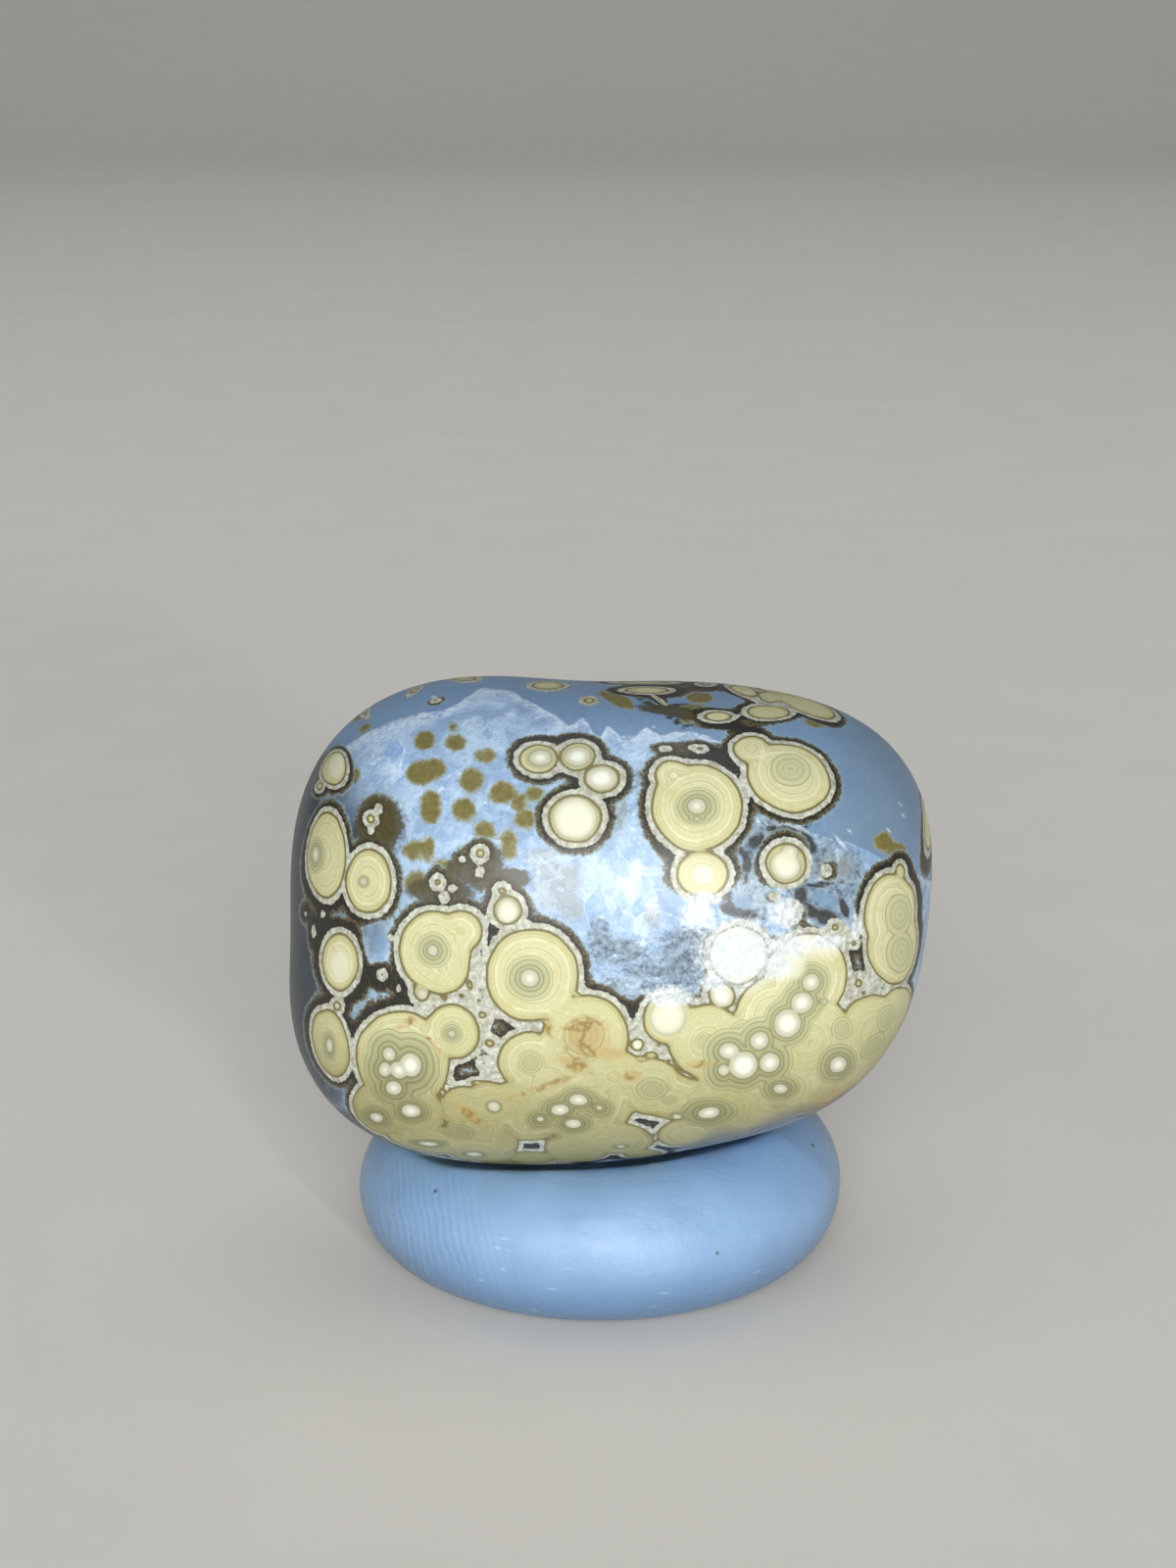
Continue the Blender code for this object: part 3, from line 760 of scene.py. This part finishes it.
def lay_out_pattern(stone, camera):
    """Works out, at each point of the stone, how far it is from the orbs, eyes and stains."""
    sight = Sight(camera, stone)
    orbs = [sight.patch(*row) for row in ORBS]
    eyes = [sight.patch(*row[:4], spare=row[4]) for row in EYES]
    hearts = [sight.patch(*row) for row in GREEN_HEARTS]
    moss = [sight.patch(*row) for row in MOSS]
    more_orbs, more_eyes, more_hearts, more_moss = strewn_patches(stone, sight)
    more_stains = strewn_stains(stone, sight)
    small = [patch for patch in orbs if patch.reach < SMALL_ORB]
    cut_finer(stone, eyes + hearts + small, FINE_MARGIN)
    orbs, eyes = orbs + more_orbs, eyes + more_eyes
    hearts, moss = hearts + more_hearts, moss + more_moss
    points = points_of(stone) / MM
    rough = rough_places(points)
    wear(stone, "edge", off_nearest(orbs, rough, ORB_ROUNDING))
    eye = off_nearest(eyes, rough, EYE_ROUNDING)
    zone = off_nearest(eyes, rough, ZONE_ROUNDING, with_spare=True)
    wear(stone, "eye", eye)
    wear(stone, "zone", zone)
    wear(stone, "ring", eye / np.maximum(eye - zone, 0.05))
    wear(stone, "heart", off_nearest(hearts, rough, EYE_ROUNDING))
    heart_rings = [patch.off(rough) / patch.reach + 1 for patch in hearts]
    wear(stone, "heart_ring", np.min(heart_rings, axis=0))
    wear(stone, "moss", off_nearest(moss, rough, MOSS_ROUNDING))
    wear(stone, "tint", shared_tint(orbs, rough, TINT_SEED))
    hiddenness = sight.hiddenness()
    for name, rows in STAINS.items():
        seen = stained([sight.patch(*row) for row in rows], rough) * (1 - hiddenness)
        wear(stone, name, np.maximum(seen, stained(more_stains.get(name, []), rough)))
    across, up = sight.seen_places(rough)
    edge_across, edge_up = zip(*BAND_EDGE)
    waves = [noise.noise(Vector(point) / BAND_WANDER_SIZE) for point in points]
    wander = BAND_WANDER * hiddenness * waves
    wear(stone, "band", up - np.interp(across, edge_across, edge_up) + wander)


# The materials


def polished_orb_agate():
    """Polished orbicular agate: a quartz gloss over a clear blue ground full of opaque cream orbs."""
    material, tree, surface, place = new_material("polished_orb_agate")
    field = {
        name: add(tree, "Attribute", out=2, attribute_name=name)
        for name in ("edge", "eye", "zone", "ring", "heart", "moss", "heart_ring", "tint", "band", *STAINS)
    }
    height = add(tree, "SeparateXYZ", (place,), out=2)

    # Noises: the size of each one's patches in millimetres, how detailed it is, and how roughly
    grit, speck, drift, cloud, crack = (
        add(tree, "TexNoise", {"Vector": place, "Scale": 1 / size, "Detail": detail, "Roughness": roughness})
        for size, detail, roughness in (
            (0.11, 2, 0.5), (0.3, 3, 0.65), (1.4, 4, 0.6), (4.0, 2, 0.5), (1.6, 3, 0.55),
        )
    )
    sway = add(tree, "TexNoise", {"Vector": place, "Scale": 1 / 1.5, "Detail": 3}, out=1)
    sway = add(tree, "VectorMath", (sway, (2.0, 2.0, 2.0), place), operation="MULTIPLY_ADD")
    facet = add(tree, "TexVoronoi", {"Vector": sway, "Scale": 1 / 1.1}, out=1)
    facet = add(tree, "SeparateColor", (facet,))
    seam = add(tree, "TexVoronoi", {"Vector": sway, "Scale": 1 / 1.1}, feature="DISTANCE_TO_EDGE")
    warp = add(tree, "TexNoise", {"Vector": place, "Scale": 1 / 2.6, "Detail": 1}, out=1)
    warp = add(tree, "VectorMath", (warp, (2.2, 2.2, 2.2), place), operation="MULTIPLY_ADD")
    upright = add(
        tree, "Mapping", {"Vector": warp, "Rotation": (0, math.radians(8), 0), "Scale": (1, 1, 0.45)})
    pane = add(tree, "TexVoronoi", {"Vector": upright, "Scale": 1 / 1.2}, out=1)
    pane = add(tree, "SeparateColor", (pane,))
    pane_edge = add(tree, "TexVoronoi", {"Vector": upright, "Scale": 1 / 1.2}, feature="DISTANCE_TO_EDGE")
    slant = add(
        tree, "Mapping", {"Vector": sway, "Rotation": (0, math.radians(-35), 0), "Scale": (0.4, 1, 1.5)})
    streak = add(tree, "TexNoise", {"Vector": slant, "Scale": 1 / 0.9, "Detail": 5, "Roughness": 0.65})
    glint = add(tree, "TexVoronoi", {"Vector": place, "Scale": 1 / 0.22}, out=1)
    glint = add(tree, "SeparateColor", (glint,))
    salt = add(tree, "MapRange", (grit, 0.35, 0.65))
    pepper = add(tree, "MapRange", (speck, 0.33, 0.67))
    scallop = add(tree, "TexVoronoi", {"Vector": place, "Scale": 1 / 0.26})
    ridge = add(tree, "Math", (drift, 0.5), operation="SUBTRACT")
    ridge = add(tree, "Math", (ridge,), operation="ABSOLUTE")
    ridge = add(tree, "Math", (cloud, -0.35, ridge), operation="MULTIPLY_ADD")
    crack = add(tree, "Math", (crack, 0.5), operation="SUBTRACT")
    crack = add(tree, "Math", (crack,), operation="ABSOLUTE")

    # The outlines made uneven by the noises: the rim's outer edge is scalloped, and the rest waver
    uneven = dict(field)
    for name, start, breaker, amount, shift in (
        ("orb", "edge", grit, 0.08, 0.04),
        ("rim", "orb", scallop, 0.11, 0.05),
        ("halo", "rim", speck, 0.45, 0.225),
        ("moss", "moss", speck, 0.5, 0.25),
        ("band", "band", drift, 0.6, 0.3),
    ):
        outline = add(tree, "Math", (breaker, amount, uneven[start]), operation="MULTIPLY_ADD")
        uneven[name] = add(tree, "Math", (outline, shift), operation="SUBTRACT")
    # Painted shade: at the far left these stains widen the black halos into the shade of the left-hand edge,
    # as well as into soot
    sooted = uneven["halo"]  # halos are wider in soot, and thinner or gone in the rest
    for name, shift in (("soot_and_edge_shade", -0.55), ("white_crystal_and_painted_glint", 0.4), ("window", 0.7), ("umber", 0.16), ("clear", 0.6)):
        sooted = add(tree, "Math", (field[name], shift, sooted), operation="MULTIPLY_ADD")
    floored = add(tree, "Math", (field["floor"], -0.7, uneven["rim"]), operation="MULTIPLY_ADD")

    # Soft stains broken up, each by one of the noises, so that they come out speckled or ragged
    ragged = {
        name: add(tree, "Math", (breaker, amount, field[name]), operation="MULTIPLY_ADD")
        for name, breaker, amount in (
            ("umber", speck, 0.6), ("smudge", speck, 0.9), ("slate", grit, 0.9), ("edge_shade_and_dark_stone", drift, 0.5),
            ("ink", speck, 0.8), ("ash", drift, 0.4), ("white_specks_and_painted_glare", speck, 0.8), ("white_crystal_and_painted_glint", grit, 0.9),
            ("rust", drift, 1.0),
        )
    }

    # Fine growth rings: noise that runs with the distance from the outline
    rings = add(tree, "Math", (field["tint"], 1.2, uneven["orb"]), operation="MULTIPLY_ADD")
    rings = add(tree, "TexNoise", {"W": rings, "Scale": 1 / 0.14, "Detail": 1}, noise_dimensions="1D")

    # How strongly each layer lies over those under it: what it follows, where it starts to show,
    # where it is full and, for a thin one, how strong it is there
    masks = {
        "band": (uneven["band"], -0.05, 0.10, 0, 0.9),
        "right": (field["right"], 0.3, 0.9),
        "light": (drift, 0.45, 0.66),
        "crest": (uneven["band"], -0.65, -0.12, 0, 0.7),
        "fleck": (speck, 0.50, 0.72, 0, 0.35),
        "streak": (streak, 0.50, 0.72, 0, 0.7),
        "seam": (seam, 0.05, 0.0, 0, 0.2),
        "grain": (speck, 0.55, 0.30, 0, 0.55),
        "vein": (ridge, -0.145, -0.185, 0, 0.35),
        # painted shade along the left-hand edge, over darker stone
        "edge_shade_and_dark_stone": (ragged["edge_shade_and_dark_stone"], 0.66, 1.10, 0, 0.97),
        # partly painted highlight: the glare's whitening over the right of the face
        "white_specks_and_painted_glare": (ragged["white_specks_and_painted_glare"], 0.70, 1.25, 0, 0.75),
        "pane": (pane_edge, 0.05, 0.0, 0, 0.75),
        "ink": (ragged["ink"], 0.66, 1.0, 0, 0.92),
        "ash": (ragged["ash"], 0.5, 0.85, 0, 0.7),
        "window": (field["window"], 0.3, 0.8, 0, 0.75),
        "glint": (glint, 0.88, 0.97),
        "ice": (field["ice"], 0.25, 0.9, 0, 0.75),
        "smudge": (ragged["smudge"], 0.70, 1.25, 0, 0.7),
        "slate": (ragged["slate"], 0.58, 0.92, 0, 0.92),
        "umber": (ragged["umber"], 0.62, 0.85, 0, 0.93),
        # white crystal, and in places a painted highlight and painted glints
        "white_crystal_and_painted_glint": (ragged["white_crystal_and_painted_glint"], 0.95, 1.5, 0, 0.7),
        "moss": (uneven["moss"], 0.20, -0.06),
        "moss_core": (uneven["moss"], 0.06, -0.18),
        "fringe": (sooted, 0.57, 0.44, 0, 0.5),
        "olive": (sooted, 0.50, 0.28),
        "halo": (sooted, 0.28, 0.10, 0, 0.95),
        "rim": (floored, 0.03, -0.03),
        "inside": (uneven["orb"], -0.26, -0.33),
        "filling": (uneven["orb"], -0.38, -0.49),
        "glow": (uneven["orb"], -0.80, -0.42, 0, 0.5),
        "mottle": (drift, 0.50, 0.75, 0, 0.6),
        "zone": (field["zone"], 0.02, -0.02),
        "heart": (field["heart"], 0.02, -0.02, 0, 0.8),
        "eye": (field["eye"], 0.05, -0.07),
        "pupil": (field["eye"], -0.10, -0.55),
        "pale": (field["pale"], 0.35, 0.8, 0, 0.8),
        # darker towards the bottom: partly painted shade, partly duller stone
        "low": (height, 20.0, 11.5),
        "rust": (ragged["rust"], 0.80, 1.4, 0, 0.6),
        "crack": (crack, 0.07, 0.0, 0, 0.85),
        "stained": (field["rust"], 0.3, 0.8),
    }
    mask = {
        name: add(tree, "MapRange", limits, interpolation_type="SMOOTHSTEP")
        for name, limits in masks.items()
    }

    # Colours that run between two: what each follows, and what it is at the least and the most
    hue = {
        name: add(tree, "Mix", {0: follows, 6: least, 7: most}, out=2, data_type="RGBA")
        for name, follows, least, most in (
            ("ground", cloud, "#7896bb", "#96b4d6"),
            ("facet", facet, "#7c97b4", "#a9c3de"),
            ("ice", pane, "#6b9ad4", "#cde4f6"),
            ("band", mask["right"], "#698bae", "#6b849c"),
            # painted shade of the left-hand edge: near-black grey-blues
            ("edge_shade_and_dark_stone", streak, "#161b20", "#37424c"),
            ("moss", speck, "#4e4a20", "#8d8450"),
            ("umber", speck, "#231f0f", "#5c5533"),
            ("slate", pepper, "#414f5b", "#93a8ba"),
            ("olive", salt, "#2c281a", "#6d664a"),
            ("halo", salt, "#060504", "#2f2d27"),
            ("ink", salt, "#0b0a09", "#3c3b35"),
            # colours of the darkening towards the bottom, partly painted shade
            ("low", drift, "#b2ae98", "#dad7c6"),
            ("filling", field["tint"], "#c9c99e", "#d8d8b3"),
            ("rim", pepper, "#929280", "#cdd2c6"),
            # white specks and painted glare
            ("white_specks_and_painted_glare", pepper, "#b6c6d4", "#ecf1f2"),
        )
    }

    # The blue ground
    crest = add(tree, "Math", (mask["crest"], pepper), operation="MULTIPLY")
    crest = add(tree, "Math", (mask["right"], -1.0, crest), operation="MULTIPLY_ADD", use_clamp=True)
    pane_line = add(tree, "Math", (mask["pane"], mask["ice"]), operation="MULTIPLY")
    sparkle = add(tree, "Math", (mask["glint"], mask["streak"]), operation="MULTIPLY")
    ground = laid_over(tree, hue["ground"], (
        (0.3, hue["facet"]),
        (mask["light"], "#b3cbe3"),
        (mask["ice"], hue["ice"]),
        (pane_line, "#dcecf8"),
        (mask["seam"], "#b9d2e8"),
        (mask["grain"], "#7593b9"),
        (mask["slate"], hue["slate"]),
        (mask["smudge"], "#868d8c"),
        (mask["streak"], "#b2cde2"),
        (mask["vein"], "#c6dcea"),
        (sparkle, "#eef8fb"),
        (crest, "#dbe8f1"),
        (mask["band"], hue["band"]),
        (mask["window"], "#7392b0"),
        # white crystal, partly painted highlight and glints
        (mask["white_crystal_and_painted_glint"], "#dde8ee"),
        (mask["ink"], hue["ink"]),
        (mask["moss"], "#8f9377"),
        (mask["moss_core"], hue["moss"]),
        # painted shade and painted dark reflection laid over the left-hand edge
        (mask["edge_shade_and_dark_stone"], hue["edge_shade_and_dark_stone"]),
        (mask["fringe"], "#98b3ba"),
        (mask["olive"], hue["olive"]),
        (mask["umber"], hue["umber"]),
        (mask["halo"], hue["halo"]),
    ))

    # The filling of the orbs, and the ringed zones round their eyes
    ring_shade = add(tree, "MapRange", (rings, 0.35, 0.7, 0.0, 0.75))
    zone_rings = add(tree, "MapRange", (field["ring"], -0.1, 1.1))
    zone_rings = add(tree, "ValToRGB", (zone_rings,), stops=(
        (0.05, "#747349"), (0.16, "#979870"), (0.27, "#b2b48c"), (0.34, "#86865e"), (0.42, "#abad85"),
        (0.58, "#b4b78f"), (0.66, "#959669"), (0.74, "#b9bc95"), (0.86, "#bebf93"), (0.92, "#7f7d54"),
        (0.97, "#bfbd8f"),
    ))
    heart_rings = add(tree, "ValToRGB", (field["heart_ring"],), stops=(
        (0.0, "#9c8a55"), (0.12, "#b4b58c"), (0.30, "#b7bb93"), (0.36, "#9d9f74"), (0.42, "#b8bc93"),
        (0.60, "#b2b68b"), (0.66, "#9a9b70"), (0.72, "#bbbe95"), (0.90, "#bec097"), (0.97, "#8f8e63"),
    ))
    filling = laid_over(tree, hue["filling"], (
        (ring_shade, "#b0ac74"),
        (mask["mottle"], "#bdb881"),
        (mask["fleck"], "#e3e1bb"),
        (mask["glow"], "#a8a268"),
        (mask["heart"], heart_rings),
        (mask["zone"], zone_rings),
    ))

    # Painted shade: the orbs are darkened towards the bottom, partly a duller olive of their own and partly
    # painted shade, but their rings still show
    shade = {0: mask["low"], 6: filling, 7: hue["low"]}
    filling = add(tree, "Mix", shade, out=2, data_type="RGBA", blend_type="MULTIPLY")
    filling = laid_over(tree, filling, (
        (mask["eye"], "#bdbda6"),
        (mask["pupil"], "#e3e8da"),
        (mask["pale"], "#dadcc2"),
        (mask["rust"], "#b2965a"),
    ))

    # The orbs laid on the ground: rim, brown line, filling, and rusty cracks through them all
    cracks = add(tree, "Math", (mask["crack"], mask["stained"]), operation="MULTIPLY")
    skin = laid_over(tree, ground, (
        (mask["rim"], hue["rim"]),
        (mask["inside"], "#6f683d"),
        (mask["filling"], filling),
        (cracks, "#8b7038"),
        (mask["ash"], "#6d6f72"),
        # white specks laid over all, partly a painted highlight
        (mask["white_specks_and_painted_glare"], hue["white_specks_and_painted_glare"]),
    ))
    tree.links.new(skin, surface.inputs["Base Color"])

    # Quartz, hand-polished: it mirrors no sharp picture of the room, only a broad soft shine
    surface.inputs["Roughness"].default_value = 0.38
    surface.inputs["IOR"].default_value = 1.54
    return material


def plasticine():
    """Blue-grey plasticine: oily clay, dented and combed by the fingers that pressed it.

    The clay is dull and the film of oil on it is glossy, which gives a soft shine with glints in it.
    """
    material, tree, surface, place = new_material("blue_grey_plasticine")
    mottle = add(tree, "TexNoise", {"Vector": place, "Scale": 1 / 2.5, "Detail": 4, "Roughness": 0.6})
    pits = add(tree, "TexNoise", {"Vector": place, "Scale": 1 / 0.4, "Detail": 3, "Roughness": 0.6})
    dents = add(tree, "TexNoise", {"Vector": place, "Scale": 1 / 3.5, "Detail": 1})

    # Ridges left by a fingertip on the left-hand end. A wave texture of scale 1 repeats every
    # 2 pi / 20 of a millimetre.
    lean = add(tree, "Mapping", {"Vector": place, "Rotation": (0, math.radians(12), 0)})
    wave_scale = 2 * math.pi / 20 / RIDGE_STEP
    ridges = add(tree, "TexWave", {
        "Vector": lean, "Scale": wave_scale, "Distortion": 7, "Detail": 2, "Detail Scale": 0.5})
    across = add(tree, "SeparateXYZ", (place,))
    combed = add(tree, "MapRange", (across, -3.0, -9.0), interpolation_type="SMOOTHSTEP")
    ridges = add(tree, "Math", (ridges, combed), operation="MULTIPLY")

    # Dust that has stuck to it, and short scratches; and painted shade that darkens it towards its foot
    height = add(tree, "SeparateXYZ", (place,), out=2)
    # painted shade: darker towards the foot
    foot_painted_shade = add(tree, "MapRange", (height, 6.0, 1.0, 0, 0.85), interpolation_type="SMOOTHSTEP")
    dust = add(tree, "TexVoronoi", {"Vector": place, "Scale": 1 / 2.2})
    dust_kind = add(tree, "TexVoronoi", {"Vector": place, "Scale": 1 / 2.2}, out=1)
    dust_kind = add(tree, "SeparateColor", (dust_kind,))
    dust = add(tree, "MapRange", (dust, 0.09, 0.05))
    dust_kind = add(tree, "MapRange", (dust_kind, 0.40, 0.50))
    dust = add(tree, "Math", (dust, dust_kind), operation="MULTIPLY")
    stroke = add(
        tree, "Mapping", {"Vector": place, "Rotation": (0, math.radians(35), 0), "Scale": (0.2, 1, 2)})
    stroke = add(tree, "TexNoise", {"Vector": stroke, "Scale": 1 / 0.7, "Detail": 2})
    stroke = add(tree, "MapRange", (stroke, 0.70, 0.76, 0, 0.5))

    body = add(tree, "Mix", {0: mottle, 6: "#769ac2", 7: "#8aaed6"}, out=2, data_type="RGBA")
    # painted shade at the foot, then the scratches and dust
    body = laid_over(tree, body, ((foot_painted_shade, "#54759a"), (stroke, "#c4daf0"), (dust, "#4c5a66")))
    tree.links.new(body, surface.inputs["Base Color"])

    # The clay is dented, combed and hardly pitted, and its film of oil is pitted more
    relief = add(tree, "Math", (dents, 0.3, 0.0), operation="MULTIPLY_ADD")
    relief = add(tree, "Math", (ridges, 0.02, relief), operation="MULTIPLY_ADD")
    relief = add(tree, "Math", (pits, 0.008, relief), operation="MULTIPLY_ADD")
    bumps = add(tree, "Bump", {"Height": relief, "Distance": MM, "Strength": 1.0})
    tree.links.new(bumps, surface.inputs["Normal"])
    relief = add(tree, "Math", (pits, 0.2, relief), operation="MULTIPLY_ADD")
    bumps = add(tree, "Bump", {"Height": relief, "Distance": MM, "Strength": 1.0})
    tree.links.new(bumps, surface.inputs["Coat Normal"])
    sheen = add(tree, "MapRange", (pits, 0.35, 0.65, 0.40, 0.55))
    tree.links.new(sheen, surface.inputs["Roughness"])
    surface.inputs["Coat Weight"].default_value = 0.5
    surface.inputs["Coat Roughness"].default_value = 0.15
    return material


def add_putty():
    putty = merged_copy(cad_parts["putty_stand"], "putty_stand_skin")
    apply_modifier(putty, "REMESH", mode="VOXEL", voxel_size=PUTTY_VOXEL)
    apply_modifier(putty, "SMOOTH", factor=0.5, iterations=PUTTY_EASING)
    keep_inside(putty, "putty_stand")
    putty.name = "putty_pad"
    putty.data.shade_smooth()
    return putty


def place_piece(piece, node, material):
    piece.data.materials.clear()
    piece.data.materials.append(material)
    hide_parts(node)
    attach(piece, "root")


camera = add_camera()
add_studio()
stone = add_stone()
lay_out_pattern(stone, camera)
place_piece(stone, "pebble", polished_orb_agate())
place_piece(add_putty(), "putty_stand", plasticine())
